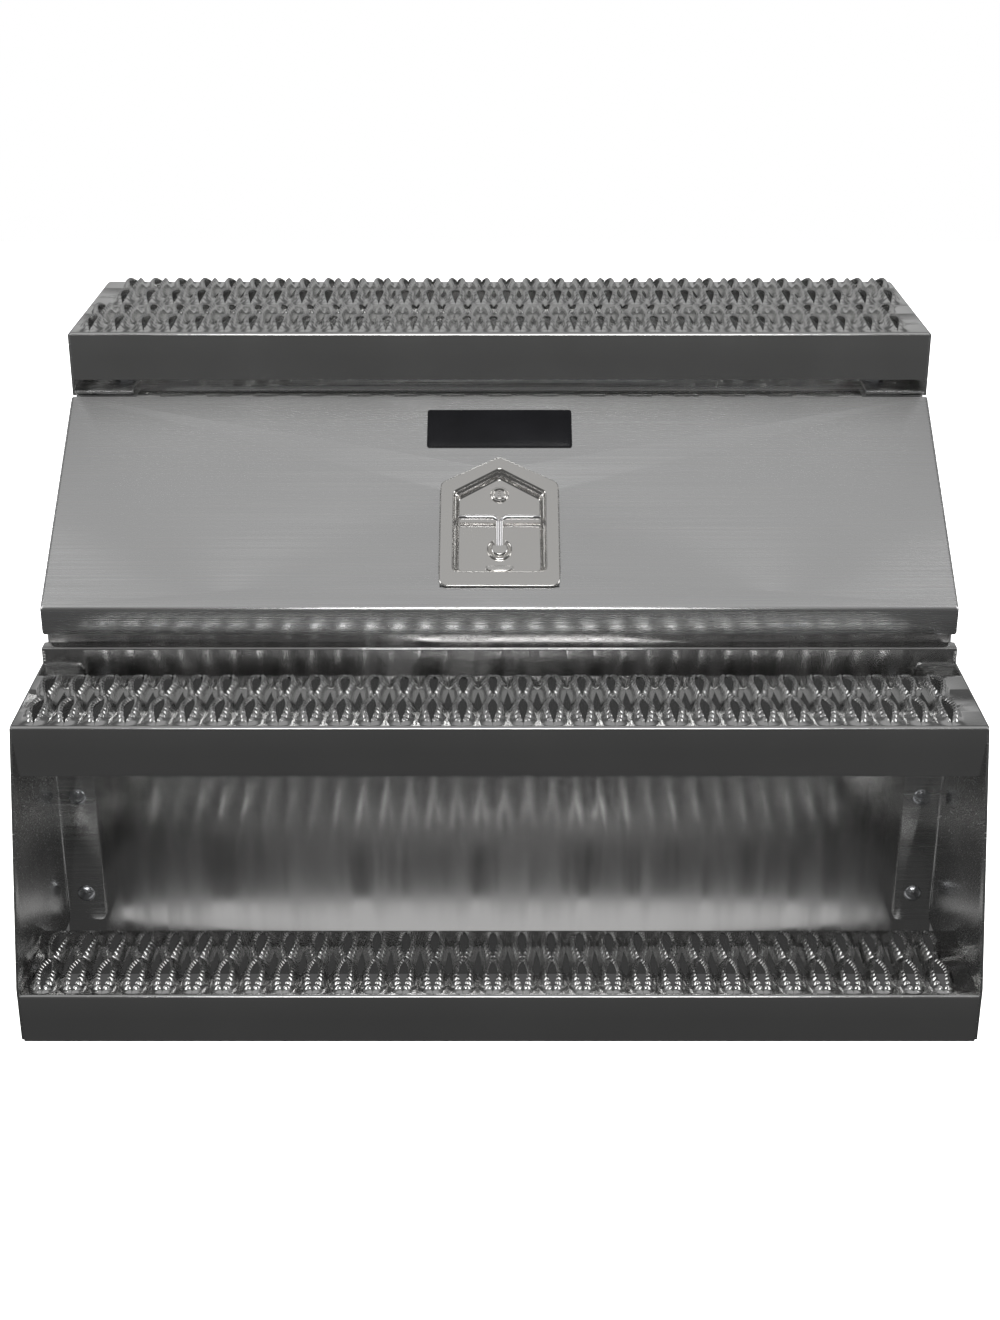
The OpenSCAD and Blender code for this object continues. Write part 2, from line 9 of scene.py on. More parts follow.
import bmesh
import bpy
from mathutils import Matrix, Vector

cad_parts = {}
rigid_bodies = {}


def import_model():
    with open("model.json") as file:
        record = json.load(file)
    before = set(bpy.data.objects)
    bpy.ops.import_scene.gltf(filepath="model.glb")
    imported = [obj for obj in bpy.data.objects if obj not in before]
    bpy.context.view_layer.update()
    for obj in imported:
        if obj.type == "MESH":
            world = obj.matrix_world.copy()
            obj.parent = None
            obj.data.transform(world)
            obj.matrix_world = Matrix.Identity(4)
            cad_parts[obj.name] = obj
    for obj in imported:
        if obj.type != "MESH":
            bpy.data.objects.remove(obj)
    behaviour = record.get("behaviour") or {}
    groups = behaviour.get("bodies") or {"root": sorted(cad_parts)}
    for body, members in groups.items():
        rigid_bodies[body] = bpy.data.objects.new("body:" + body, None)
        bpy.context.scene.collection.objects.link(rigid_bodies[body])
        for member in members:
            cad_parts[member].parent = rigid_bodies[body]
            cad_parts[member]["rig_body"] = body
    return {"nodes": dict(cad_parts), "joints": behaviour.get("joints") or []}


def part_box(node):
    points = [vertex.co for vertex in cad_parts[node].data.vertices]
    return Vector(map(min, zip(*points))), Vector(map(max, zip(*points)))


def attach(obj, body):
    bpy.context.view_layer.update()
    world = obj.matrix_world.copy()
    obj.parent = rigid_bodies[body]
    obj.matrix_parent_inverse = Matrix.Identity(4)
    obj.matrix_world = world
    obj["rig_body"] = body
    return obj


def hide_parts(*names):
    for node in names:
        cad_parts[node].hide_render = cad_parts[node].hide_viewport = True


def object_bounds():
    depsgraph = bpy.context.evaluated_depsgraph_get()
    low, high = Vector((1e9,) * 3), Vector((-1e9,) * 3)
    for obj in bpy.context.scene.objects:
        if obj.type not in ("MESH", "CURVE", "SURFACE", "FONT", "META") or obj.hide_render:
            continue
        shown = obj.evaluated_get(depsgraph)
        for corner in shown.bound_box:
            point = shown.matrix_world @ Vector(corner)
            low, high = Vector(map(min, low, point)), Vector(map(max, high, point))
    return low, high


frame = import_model()
CAD_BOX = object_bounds()

# ---------------------------------------------------------------- sizes, in metres
MM = 0.001
SHEET = 2.5 * MM          # every folded sheet
BEND = 3.5 * MM           # outer radius of the folds
SHEET_EDGE = 0.5 * MM     # rounding of the cut edges
LIP = 12 * MM             # the tread's teeth above its walking surface
HALF_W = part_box("step_end_right")[1].x
INNER_W = HALF_W - SHEET
JOINT = {j["name"]: j for j in frame["joints"]}
SLOPE = math.atan2(-JOINT["latch_turn"]["axis"][1], JOINT["latch_turn"]["axis"][2])
LID_LOW, LID_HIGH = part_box("lid_shell")
LID_TOP_Z = LID_HIGH.z
LID_FLANGE_H = 28 * MM
LID_FLANGE_RUN = LID_FLANGE_H * math.sin(SLOPE)
LID_FLANGE_DROP = LID_FLANGE_H * math.cos(SLOPE)
LID_TOP_Y = LID_HIGH.y - LID_FLANGE_DROP * math.sin(SLOPE)
LID_L = (LID_TOP_Y - LID_LOW.y) / math.cos(SLOPE)


def lid_point(x, s, n):
    """A point on the lid: x across, s down the slope from its top edge, n out of its face."""
    y = LID_TOP_Y - s * math.cos(SLOPE) - n * math.sin(SLOPE)
    z = LID_TOP_Z - s * math.sin(SLOPE) + n * math.cos(SLOPE)
    return Vector((x, y, z))


def lid_s(point):
    """How far down the lid's slope a point lies."""
    return (LID_TOP_Y - point.y) * math.cos(SLOPE) + (LID_TOP_Z - point.z) * math.sin(SLOPE)


SPINDLE_S = lid_s(Vector(JOINT["latch_turn"]["pos_m"]))
LOCK_S = lid_s(Vector(JOINT["lock_turn"]["pos_m"]))


# ---------------------------------------------------------------- materials
def shader_node(nodes, kind, values, **settings):
    """A new shader node with these input values and settings."""
    made = nodes.new(kind)
    for key, value in settings.items():
        setattr(made, key, value)
    for key, value in values.items():
        made.inputs[key].default_value = value
    return made


def new_material(name):
    """An empty material: itself, its nodes, its links and its main shader."""
    mat = bpy.data.materials.new(name)
    mat.use_nodes = True
    nodes, links = mat.node_tree.nodes, mat.node_tree.links
    return mat, nodes, links, nodes["Principled BSDF"]


BRUSHED = (3, 700, 700)       # scale of a fine grain along X
CLOUD_SCALE = 9.0
PIT_SCALE = 260.0
PIT_DEPTH = 0.4 * MM
LEAST_ROUGH = 0.02
HIGHLIGHT = 0.3               # how much of the tone's spread goes upwards
MID_NOISE = (0.3, 0.7)        # where most values of a noise lie


def metal(name, color, rough, grain=0.0, grain_scale=BRUSHED, spread=0.06, cloud=0.05,
          anisotropic=0.0, speck=0.0):
    """A bare metal: brushed grain, faint clouding, uneven gloss and, with speck, fine pits."""
    mat, nodes, links, shader = new_material(name)
    shader.inputs["Metallic"].default_value = 1.0
    where = nodes.new("ShaderNodeTexCoord").outputs["Object"]
    stretch = shader_node(nodes, "ShaderNodeMapping", {"Scale": grain_scale})
    links.new(where, stretch.inputs["Vector"])
    fine = shader_node(nodes, "ShaderNodeTexNoise", {"Scale": 1.0, "Detail": 3.0})
    links.new(stretch.outputs["Vector"], fine.inputs["Vector"])
    broad = shader_node(nodes, "ShaderNodeTexNoise", {"Scale": CLOUD_SCALE, "Detail": 4.0})
    links.new(where, broad.inputs["Vector"])
    clouds = shader_node(nodes, "ShaderNodeMath", {1: cloud}, operation="MULTIPLY")
    links.new(broad.outputs["Fac"], clouds.inputs[0])
    pattern = shader_node(nodes, "ShaderNodeMath", {1: grain}, operation="MULTIPLY_ADD")
    links.new(fine.outputs["Fac"], pattern.inputs[0])
    links.new(clouds.outputs[0], pattern.inputs[2])
    tint = shader_node(nodes, "ShaderNodeMapRange",
                       {"From Max": grain + cloud, "To Min": 1.0 - grain - cloud,
                        "To Max": 1.0 + HIGHLIGHT * (grain + cloud)})
    links.new(pattern.outputs[0], tint.inputs["Value"])
    shade = shader_node(nodes, "ShaderNodeVectorMath", {0: color}, operation="SCALE")
    links.new(tint.outputs[0], shade.inputs["Scale"])
    links.new(shade.outputs["Vector"], shader.inputs["Base Color"])
    gloss = shader_node(nodes, "ShaderNodeMapRange",
                        {"From Min": MID_NOISE[0], "From Max": MID_NOISE[1],
                         "To Min": max(rough - spread, LEAST_ROUGH), "To Max": rough + spread})
    links.new((fine if grain else broad).outputs["Fac"], gloss.inputs["Value"])
    links.new(gloss.outputs[0], shader.inputs["Roughness"])
    if anisotropic:
        shader.inputs["Anisotropic"].default_value = anisotropic
        tangent = nodes.new("ShaderNodeTangent")
        tangent.direction_type = "RADIAL"
        tangent.axis = "X"
        links.new(tangent.outputs[0], shader.inputs["Tangent"])
    if speck:
        pits = shader_node(nodes, "ShaderNodeTexNoise", {"Scale": PIT_SCALE, "Detail": 2.0})
        links.new(where, pits.inputs["Vector"])
        relief = shader_node(nodes, "ShaderNodeBump", {"Strength": speck, "Distance": PIT_DEPTH})
        links.new(pits.outputs["Fac"], relief.inputs["Height"])
        links.new(relief.outputs["Normal"], shader.inputs["Normal"])
    return mat


COAT_CLOUD = 0.3              # how far a coat's colour strays from its mean
COAT_GLOSS = (0.85, 1.2)      # the same for its roughness, as factors
COAT_RELIEF = 0.3 * MM


def coated(name, color, rough, scale, relief_by, specular=0.5):
    """A plastic, rubber or painted surface with fine relief and uneven gloss."""
    mat, nodes, links, shader = new_material(name)
    shader.inputs["Specular IOR Level"].default_value = specular
    where = nodes.new("ShaderNodeTexCoord").outputs["Object"]
    grain = shader_node(nodes, "ShaderNodeTexNoise", {"Scale": scale, "Detail": 4.0})
    links.new(where, grain.inputs["Vector"])
    ramp = nodes.new("ShaderNodeValToRGB")
    for element, place, factor in zip(ramp.color_ramp.elements, MID_NOISE,
                                      (1 - COAT_CLOUD, 1 + COAT_CLOUD)):
        element.position = place
        element.color = [c * factor for c in color] + [1]
    links.new(grain.outputs["Fac"], ramp.inputs["Fac"])
    links.new(ramp.outputs["Color"], shader.inputs["Base Color"])
    gloss = shader_node(nodes, "ShaderNodeMapRange", {"To Min": rough * COAT_GLOSS[0],
                                                      "To Max": rough * COAT_GLOSS[1]})
    links.new(grain.outputs["Fac"], gloss.inputs["Value"])
    links.new(gloss.outputs[0], shader.inputs["Roughness"])
    relief = shader_node(nodes, "ShaderNodeBump", {"Strength": relief_by, "Distance": COAT_RELIEF})
    links.new(grain.outputs["Fac"], relief.inputs["Height"])
    links.new(relief.outputs["Normal"], shader.inputs["Normal"])
    return mat


MATERIAL = {
    "body_sheet": metal("body_aluminium", (0.63, 0.625, 0.62), 0.18, 0.12, (55, 4, 4),
                        anisotropic=1.0),
    "end_sheet": metal("end_aluminium", (0.60, 0.60, 0.595), 0.22, 0.08, anisotropic=0.5),
    "side_sheet": metal("side_aluminium", (0.80, 0.80, 0.80), 0.30, 0.04, (600, 3, 600),
                        spread=0.03),
    "panel_sheet": metal("panel_aluminium", (0.78, 0.78, 0.78), 0.28, 0.04, (3, 600, 600),
                         spread=0.03, anisotropic=0.6),
    # painted shade: the lower and middle steps get this darker copy of the deck's tread sheet below,
    # for the light that falls on them
    "tread_painted_shade": metal("tread_aluminium_painted_shade", (0.66, 0.66, 0.655), 0.14, cloud=0.12,
                        speck=0.12),
    "step_sheet": metal("step_aluminium", (0.86, 0.86, 0.855), 0.22, 0.08, anisotropic=0.5),
    "tread": metal("tread_aluminium", (0.82, 0.82, 0.81), 0.17, cloud=0.12, speck=0.12),
    "lid_sheet": metal("lid_aluminium", (0.80, 0.80, 0.80), 0.26, 0.045, anisotropic=0.6),
    "latch_steel": metal("latch_stainless", (0.86, 0.845, 0.82), 0.16, cloud=0.06),
    "handle_steel": metal("handle_stainless", (0.92, 0.91, 0.92), 0.07, cloud=0.04),
    "plated_steel": metal("zinc_plate", (0.62, 0.63, 0.65), 0.24, cloud=0.14, speck=0.1),
    "hinge_steel": metal("hinge_stainless", (0.62, 0.62, 0.61), 0.25, 0.08),
    "rod_chrome": metal("rod_chrome", (0.82, 0.82, 0.83), 0.06, cloud=0.04),
    "name_plate": coated("plate_enamel", (0.002, 0.002, 0.0025), 0.2, 30, 0.03, specular=0.2),
    "seal": coated("seal_rubber", (0.022, 0.022, 0.022), 0.62, 900, 0.35),
    "strut_black": coated("strut_paint", (0.02, 0.02, 0.021), 0.35, 500, 0.12),
}
# pieces whose material isn't the one named after their slot
LOOK = {
    "t_handle": "handle_steel", "step_end_left": "end_sheet", "step_end_right": "end_sheet",
    "side_panel_left": "side_sheet", "side_panel_right": "side_sheet", "back_panel": "panel_sheet",
    "top_panel": "panel_sheet", "floor_panel": "panel_sheet", "lower_step_plank": "tread_painted_shade",
    "middle_step_plank": "tread_painted_shade",
}
NODE_SLOT = {
    "side_panel_left": "body_sheet", "side_panel_right": "body_sheet", "floor_panel": "body_sheet",
    "back_panel": "body_sheet", "top_panel": "body_sheet", "front_wall": "body_sheet",
    "opening_frame": "body_sheet", "door_seal": "seal", "step_end_left": "step_sheet",
    "step_end_right": "step_sheet", "lower_step_plank": "tread", "middle_step_plank": "tread",
    "deck_plank_front": "tread", "deck_plank_rear": "tread", "deck_bracket_left": "step_sheet",
    "deck_bracket_right": "step_sheet", "flange_bolts": "plated_steel", "flange_nuts": "plated_steel",
    "deck_bolts": "plated_steel", "deck_nuts": "plated_steel", "hinge_leaf_body": "hinge_steel",
    "hinge_pin": "hinge_steel", "hinge_leaf_lid": "hinge_steel", "lid_shell": "lid_sheet",
    "lid_stiffener": "body_sheet", "name_plate": "name_plate", "latch_gasket": "seal",
    "latch_pan": "latch_steel", "lock_case": "latch_steel", "lock_plug": "latch_steel",
    "latch_spindle": "latch_steel", "handle_pin": "plated_steel", "latch_cam": "plated_steel",
    "latch_nut": "plated_steel", "t_handle": "latch_steel", "latch_keeper": "plated_steel",
    "strut_bracket_body_left": "plated_steel", "strut_bracket_body_right": "plated_steel",
    "strut_bracket_lid_left": "plated_steel", "strut_bracket_lid_right": "plated_steel",
    "strut_cylinder_left": "strut_black", "strut_cylinder_right": "strut_black",
    "strut_rod_left": "rod_chrome", "strut_rod_right": "rod_chrome",
}


# ---------------------------------------------------------------- mesh helpers
SAME_POINT = 1e-6          # points nearer than this are one
SAME_CORNER = 1e-5         # the same for the corners of a folded sheet's faces
FLAT_ANGLE = 0.4           # degrees between faces that are joined as one flat face
SOFTEN_ANGLE = 35          # degrees beyond which an edge of a CAD node is rounded
CUT_EDGE_ANGLE = 60        # the same for the cut edges of a thickened sheet
LEAST_FOLD = 0.2           # radians beyond which an edge between two faces is a fold
FOLD_STEPS = 4


def body_of(node):
    """The CAD body that a node rides on."""
    return frame["nodes"][node]["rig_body"]


def looks_of(node):
    """The material of the pieces that replace a CAD node."""
    return MATERIAL[LOOK.get(node, NODE_SLOT[node])]


def finished(bm, name, node, sharp, solid=0.0, offset=-1.0, edge=0.0):
    """Turns bm into a piece with the material, body and place of the CAD node that it replaces.

    Edges steeper than sharp degrees stay sharp. With solid the faces get that thickness, on the
    side that offset says, and with edge the thickened sheet's cut edges are rounded that wide.
    """
    mesh = bpy.data.meshes.new(name)
    bm.to_mesh(mesh)
    bm.free()
    obj = bpy.data.objects.new(name, mesh)
    bpy.context.scene.collection.objects.link(obj)
    if solid:
        thick = obj.modifiers.new("thickness", "SOLIDIFY")
        thick.thickness = solid
        thick.offset = offset
        thick.use_even_offset = True
        thick.use_quality_normals = True
        if edge:
            round_off = obj.modifiers.new("edges", "BEVEL")
            round_off.width = edge
            round_off.segments = 2
            round_off.limit_method = "ANGLE"
            round_off.angle_limit = math.radians(CUT_EDGE_ANGLE)
        graph = bpy.context.evaluated_depsgraph_get()
        mesh = bpy.data.meshes.new_from_object(obj.evaluated_get(graph))
        obj.modifiers.clear()
        obj.data = mesh
    mesh.name = name
    mesh.polygons.foreach_set("use_smooth", [True] * len(mesh.polygons))
    mesh.set_sharp_from_angle(angle=math.radians(sharp))
    mesh.materials.clear()
    mesh.materials.append(looks_of(node))
    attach(obj, body_of(node))
    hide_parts(node)


def softened(node, width):
    """A copy of a CAD node with its flat faces joined and its edges rounded by width."""
    bm = bmesh.new()
    bm.from_mesh(frame["nodes"][node].data)
    bmesh.ops.remove_doubles(bm, verts=bm.verts, dist=SAME_POINT)
    bmesh.ops.dissolve_limit(bm, angle_limit=math.radians(FLAT_ANGLE), verts=bm.verts,
                             edges=bm.edges)
    edges = [e for e in bm.edges
             if len(e.link_faces) == 2 and e.calc_face_angle(0) > math.radians(SOFTEN_ANGLE)]
    bmesh.ops.bevel(bm, geom=edges, offset=width, segments=2, profile=0.5,
                    affect="EDGES", clamp_overlap=True)
    finished(bm, node + "_piece", node, sharp=50)


def add_faces(bm, faces):
    """Adds flat faces and joins them where their corners meet."""
    for points in faces:
        bm.faces.new([bm.verts.new(p) for p in points])
    bmesh.ops.remove_doubles(bm, verts=bm.verts, dist=SAME_CORNER)


def folded(name, node, faces, radius=BEND, hole=None):
    """Sheet metal: flat faces, each listed counter-clockwise from outside, with rounded folds."""
    bm = bmesh.new()
    add_faces(bm, faces)
    folds = [e for e in bm.edges if len(e.link_faces) == 2 and e.calc_face_angle(0) > LEAST_FOLD]
    bmesh.ops.bevel(bm, geom=folds, offset=radius, segments=FOLD_STEPS, profile=0.5,
                    affect="EDGES", clamp_overlap=True)
    if hole:
        cut_hole(bm, hole)
    finished(bm, name, node, sharp=30, solid=SHEET, edge=SHEET_EDGE)


def cut_hole(bm, outline):
    """Cuts a closed outline, which lies inside the largest face, out of that face."""
    face = max(bm.faces, key=lambda f: f.calc_area())
    edges = list(face.edges)
    normal = face.normal.copy()
    bm.faces.remove(face)
    ring = [bm.verts.new(p) for p in outline]
    edges += [bm.edges.new((ring[i - 1], ring[i])) for i in range(len(ring))]
    made = bmesh.ops.triangle_fill(bm, edges=edges, use_beauty=True, normal=normal)
    for part in made["geom"]:
        if isinstance(part, bmesh.types.BMFace) and part.normal.dot(normal) < 0:
            part.normal_flip()


def arc(cx, cy, r, start, end, steps):
    """Points on a circle from angle start to end, in degrees."""
    angles = [math.radians(start + (end - start) * i / steps) for i in range(steps + 1)]
    return [(cx + r * math.cos(a), cy + r * math.sin(a)) for a in angles]


def rounded(corners, radius, steps=5):
    """An outline through 2-D corners, each rounded by an arc of that radius."""
    out = []
    for i, corner in enumerate(corners):
        here, before, after = (Vector(p) for p in (corner, corners[i - 1],
                                                   corners[(i + 1) % len(corners)]))
        a, b = (before - here).normalized(), (after - here).normalized()
        half = a.angle(b) / 2
        reach = radius / math.tan(half)
        centre = here + (a + b).normalized() * (radius / math.sin(half))
        first, last = here + a * reach - centre, here + b * reach - centre
        turn = first.angle_signed(last)
        for k in range(steps + 1):
            spin = -turn * k / steps
            out.append((centre.x + first.x * math.cos(spin) - first.y * math.sin(spin),
                        centre.y + first.x * math.sin(spin) + first.y * math.cos(spin)))
    return out


def circle(count):
    """The angles of points spread evenly round a circle."""
    return [2 * math.pi * k / count for k in range(count)]


def skin(bm, rings, closed=True, cap_first=False, cap_last=False):
    """Joins rings of points with quads, and caps the ends that are asked for."""
    made = [[bm.verts.new(p) for p in ring] for ring in rings]
    for low, high in zip(made, made[1:]):
        count = len(low)
        for i in range(count if closed else count - 1):
            j = (i + 1) % count
            bm.faces.new((low[i], low[j], high[j], high[i]))
    if cap_first:
        bm.faces.new(made[0][::-1])
    if cap_last:
        bm.faces.new(made[-1])


def tidy_surface(bm):
    """Joins points that coincide and turns every face outwards."""
    bmesh.ops.remove_doubles(bm, verts=bm.verts, dist=SAME_POINT)
    bmesh.ops.recalc_face_normals(bm, faces=bm.faces)


def smooth_step(t):
    """0 to 1 with level ends."""
    t = min(max(t, 0.0), 1.0)
    return t * t * (3 - 2 * t)


# ---------------------------------------------------------------- tread planks
TREAD_PITCH = 28.575 * MM
TREAD_SHIFT = -6.4 * MM
COLUMNS = 31
EYE_HALF_W = 6.1 * MM      # opening between the teeth
EYE_START = 5.5 * MM       # from the plank's edge to the first opening
PINCH = 3.2 * MM           # strand between the two openings of a column
PINCH_UP = 4.5 * MM
LOW_HALF_W = 5.2 * MM      # smooth opening between the columns, pressed downwards
LOW_HALF_L = 25 * MM
LOW_DOWN = 3.5 * MM
TEETH = 11                 # along one side of an opening
TOOTH = 1.3 * MM
TREAD_T = 2.3 * MM
TREAD_BEND = 3.6 * MM
STRAND = (0.0, 0.08, 0.17, 0.3, 0.52, 0.76, 1.0)   # across a strand, from its rim to its low edge
RIM = 0.17                 # the rounded rim's share of a strand
RIM_ROUND = 0.6 * MM
RIM_FULL = 3 * MM          # the rise at which a rim is fully rounded
ROWS_PER_TOOTH = 4
FALL = 1.8                 # how steeply a strand falls away from its rim
EYE_ROUND = 0.9            # powers that fill out an opening's outline,
RISE_ROUND = 0.85          # its rim's rise
LOW_ROUND = 0.8            # and the low opening's outline
WELD_TREAD = 2e-5          # points nearer than this are one

# a row across a plank: place, half the opening there, rise of its rim with the tooth, the
# tooth's share of that, and the sheet's own height
Row = collections.namedtuple("Row", "y eye rise tooth z")


def tread_rows(depth):
    """The rows through a plank's openings."""
    rows = []
    eye_l = (depth - 2 * EYE_START - PINCH) / 2
    steps = ROWS_PER_TOOTH * TEETH
    for half in (0, 1):
        start = EYE_START + half * (eye_l + PINCH)
        for k in range(steps + 1):
            t = k / steps
            near = 1 - t if half else t                # 0 at the plank's edge, 1 at the pinch
            swell = math.sin(math.pi * t)
            pinch_up = PINCH_UP * smooth_step(near)
            rise = (LIP - TREAD_T - TOOTH - pinch_up) * swell ** RISE_ROUND + pinch_up
            tooth = TOOTH * smooth_step(4 * swell) if k % ROWS_PER_TOOTH in (1, 2) else 0.0
            rows.append(Row(start + eye_l * t, EYE_HALF_W * swell ** EYE_ROUND, rise + tooth,
                            tooth, 0.0))
    return rows


def tread_piece(node, shift):
    """A tread plank: toothed openings in pairs, low openings between, and channel sides."""
    low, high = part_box(node)
    depth, top, bottom = high.y - low.y, high.z - LIP - TREAD_T, low.z
    mid, half = depth / 2, TREAD_PITCH / 2
    inner = TREAD_BEND - TREAD_T
    section = [(TREAD_T, bottom - top), (TREAD_T, 0.5 * (bottom - top))]
    section += [(TREAD_T + inner - inner * math.cos(a), inner * math.sin(a) - inner)
                for a in (0, math.pi / 6, math.pi / 3, math.pi / 2)]
    rows = [Row(y, 0.0, 0.0, 0.0, z) for y, z in section]
    rows += tread_rows(depth)
    rows += [Row(depth - y, 0.0, 0.0, 0.0, z) for y, z in section[::-1]]
    bm = bmesh.new()
    grid = []

    def line(x_of, z_of):
        grid.append([bm.verts.new((x_of(r), low.y + r.y, top + r.z + z_of(r))) for r in rows])

    def low_part(r):
        t = (r.y - mid) / LOW_HALF_L
        return math.cos(t * math.pi / 2) if abs(t) < 1 else 0.0

    def strand(centre, side, u):
        fall = (1 - max(0, u - RIM) / (1 - RIM)) ** FALL
        on_rim, rim_edge = u <= RIM, u in (0, RIM)
        line(lambda r: centre + side * (
                 r.eye + u * (half - LOW_HALF_W * low_part(r) ** LOW_ROUND - r.eye)),
             lambda r: ((r.rise - r.tooth) * fall + r.tooth * on_rim
                        - RIM_ROUND * rim_edge * min(1, r.rise / RIM_FULL)
                        - LOW_DOWN * low_part(r) * u ** 2))

    seams = set()              # lines across an opening from the line before, or welded to it
    line(lambda r: -INNER_W, lambda r: 0.0)
    for i in range(COLUMNS):
        centre = TREAD_SHIFT + shift + (i - (COLUMNS - 1) / 2) * TREAD_PITCH
        for side in (-1, 1):
            for u in (STRAND[::-1] if side < 0 else STRAND):
                if u == (1 if side < 0 else 0) and len(grid) > 1:
                    seams.add(len(grid))
                strand(centre, side, u)
    line(lambda r: INNER_W, lambda r: 0.0)
    for i in range(1, len(grid)):
        if i in seams:
            continue
        for k in range(len(rows) - 1):
            bm.faces.new((grid[i - 1][k], grid[i][k], grid[i][k + 1], grid[i - 1][k + 1]))
    bmesh.ops.remove_doubles(bm, verts=bm.verts, dist=WELD_TREAD)
    finished(bm, node + "_tread", node, sharp=55, solid=TREAD_T, offset=1.0)


tread_piece("lower_step_plank", 0)
tread_piece("middle_step_plank", 0)
tread_piece("deck_plank_front", 0)
tread_piece("deck_plank_rear", TREAD_PITCH / 2)


# ---------------------------------------------------------------- lid
def house(w, apex, shoulder, foot, radius, n):
    """The latch's outline on the lid: a rectangle with a low pointed top, at depth n."""
    corners = [(-w / 2, foot), (w / 2, foot), (w / 2, shoulder), (0, apex), (-w / 2, shoulder)]
    return [lid_point(x, s, n) for x, s in rounded(corners, radius)]


PAN_T = 1.2 * MM
PAN_W = 93.6 * MM
PAN_APEX = SPINDLE_S - 96.6 * MM
PAN_SHOULDER = SPINDLE_S - 66.6 * MM
PAN_FOOT = SPINDLE_S + 33 * MM
PAN_FLOOR = -8 * MM          # the recess's floor, under the lid's face
PAN_CLEAR = 0.6 * MM         # between the recess and the lid's hole
DRAIN_S = SPINDLE_S + 20 * MM
DRAIN_HALF = 13 * MM
DRAIN_GAP = 1.6 * MM
DRAIN_CORNER = 0.7 * MM
DRAIN_LIP_S = DRAIN_S + 1.7 * MM
LATCH_W = 122 * MM
LATCH_APEX = PAN_APEX - 16.5 * MM
LATCH_SHOULDER = PAN_SHOULDER - 12 * MM
LATCH_FOOT = PAN_FOOT + 19 * MM
APEX_SHARE = 1.14            # how far the outline's point moves for an inset of 1
SHOULDER_SHARE = 0.57        # the same for its shoulders


def lid_piece():
    """The lid: face, front flange and side flanges, folded from one sheet."""
    def p(side, s, n):
        return lid_point(side * HALF_W, s, n)
    low_s, low_n = LID_L + LID_FLANGE_RUN, -LID_FLANGE_DROP
    faces = [
        [p(-1, 0, 0), p(-1, LID_L, 0), p(1, LID_L, 0), p(1, 0, 0)],
        [p(-1, LID_L, 0), p(-1, low_s, low_n), p(1, low_s, low_n), p(1, LID_L, 0)],
        [p(-1, 0, 0), p(-1, 0, low_n), p(-1, low_s, low_n), p(-1, LID_L, 0)],
        [p(1, 0, 0), p(1, LID_L, 0), p(1, low_s, low_n), p(1, 0, low_n)],
    ]
    margin = PAN_T + PAN_CLEAR
    hole = house(PAN_W + 2 * margin, PAN_APEX - margin, PAN_SHOULDER - PAN_T / 2,
                 PAN_FOOT + margin, 4 * MM, 0)
    folded("lid_skin", "lid_shell", faces, hole=hole)


lid_piece()


# ---------------------------------------------------------------- latch
# the latch face from its rim inwards, in mm: inset from the outline, height, corner radius; the
# last ring lies on the recess's floor
FLANGE_RINGS = ((0, 1.0, 9), (0, 1.5, 9), (0.4, 2.2, 9), (1.4, 2.5, 8.5))
PAN_RINGS = ((-2.5, 2.5, 6), (-1.2, 2.2, 6), (-0.2, 1.3, 6), (0.6, -0.6, 6), (1.0, -1.4, 6),
             (2.1, -1.9, 6), (2.6, -2.6, 6), (4.2, -6.3, 5), (4.8, -7.3, 5), (5.8, -7.85, 5),
             (7.2, -8.0, 5))
# the drain's pressed lip: its share of the slot's half width, reach and height in mm
DRAIN_LIP = ((0.96, 0.2, 0), (1, 0, 0.9), (1, 0.5, 1.2), (0.98, 2.6, 0.8), (0.95, 4.6, 0))


def latch_piece():
    """The pressed latch face: a rounded flange and a recess with sloping walls and soft corners."""
    bm = bmesh.new()

    def ring(outline, inset, n, radius):
        w, apex, shoulder, foot = outline
        i = inset * MM
        return house(w - 2 * i, apex + APEX_SHARE * i, shoulder + SHOULDER_SHARE * i, foot - i,
                     radius * MM, n * MM)

    flange = (LATCH_W, LATCH_APEX, LATCH_SHOULDER, LATCH_FOOT)
    pan = (PAN_W, PAN_APEX, PAN_SHOULDER, PAN_FOOT)
    skin(bm, [ring(flange, *r) for r in FLANGE_RINGS] + [ring(pan, *r) for r in PAN_RINGS],
         cap_last=True)
    drain = rounded([(-DRAIN_HALF, DRAIN_S + DRAIN_GAP), (DRAIN_HALF, DRAIN_S + DRAIN_GAP),
                     (DRAIN_HALF, DRAIN_S), (-DRAIN_HALF, DRAIN_S)], DRAIN_CORNER, 3)
    cut_hole(bm, [lid_point(x, s, PAN_FLOOR) for x, s in drain])
    sweep = [math.pi * (k / 16 - 0.5) * 0.999 for k in range(17)]     # just short of a half turn
    skin(bm, [[lid_point(DRAIN_HALF * share * math.sin(a),
                         DRAIN_LIP_S + reach * MM * math.cos(a) ** 0.5,
                         PAN_FLOOR + height * MM * math.cos(a)) for a in sweep]
              for share, reach, height in DRAIN_LIP], closed=False)
    finished(bm, "latch_face", "latch_pan", sharp=60, solid=PAN_T * 0.8)


latch_piece()


def turned(bm, profile, s, steps=56, cut=None, closed=False):
    """Turns (radius, depth) pairs in mm round an upright axis of the lid, s down its slope."""
    rings = []
    for r, n in profile + profile[:1] * closed:
        ring = []
        for a in circle(steps):
            x, up = r * MM * math.sin(a), r * MM * math.cos(a)
            ring.append(lid_point(x, s - up, cut(x, up, n * MM) if cut else n * MM))
        rings.append(ring)
    skin(bm, rings, cap_first=not closed, cap_last=not closed)
    tidy_surface(bm)


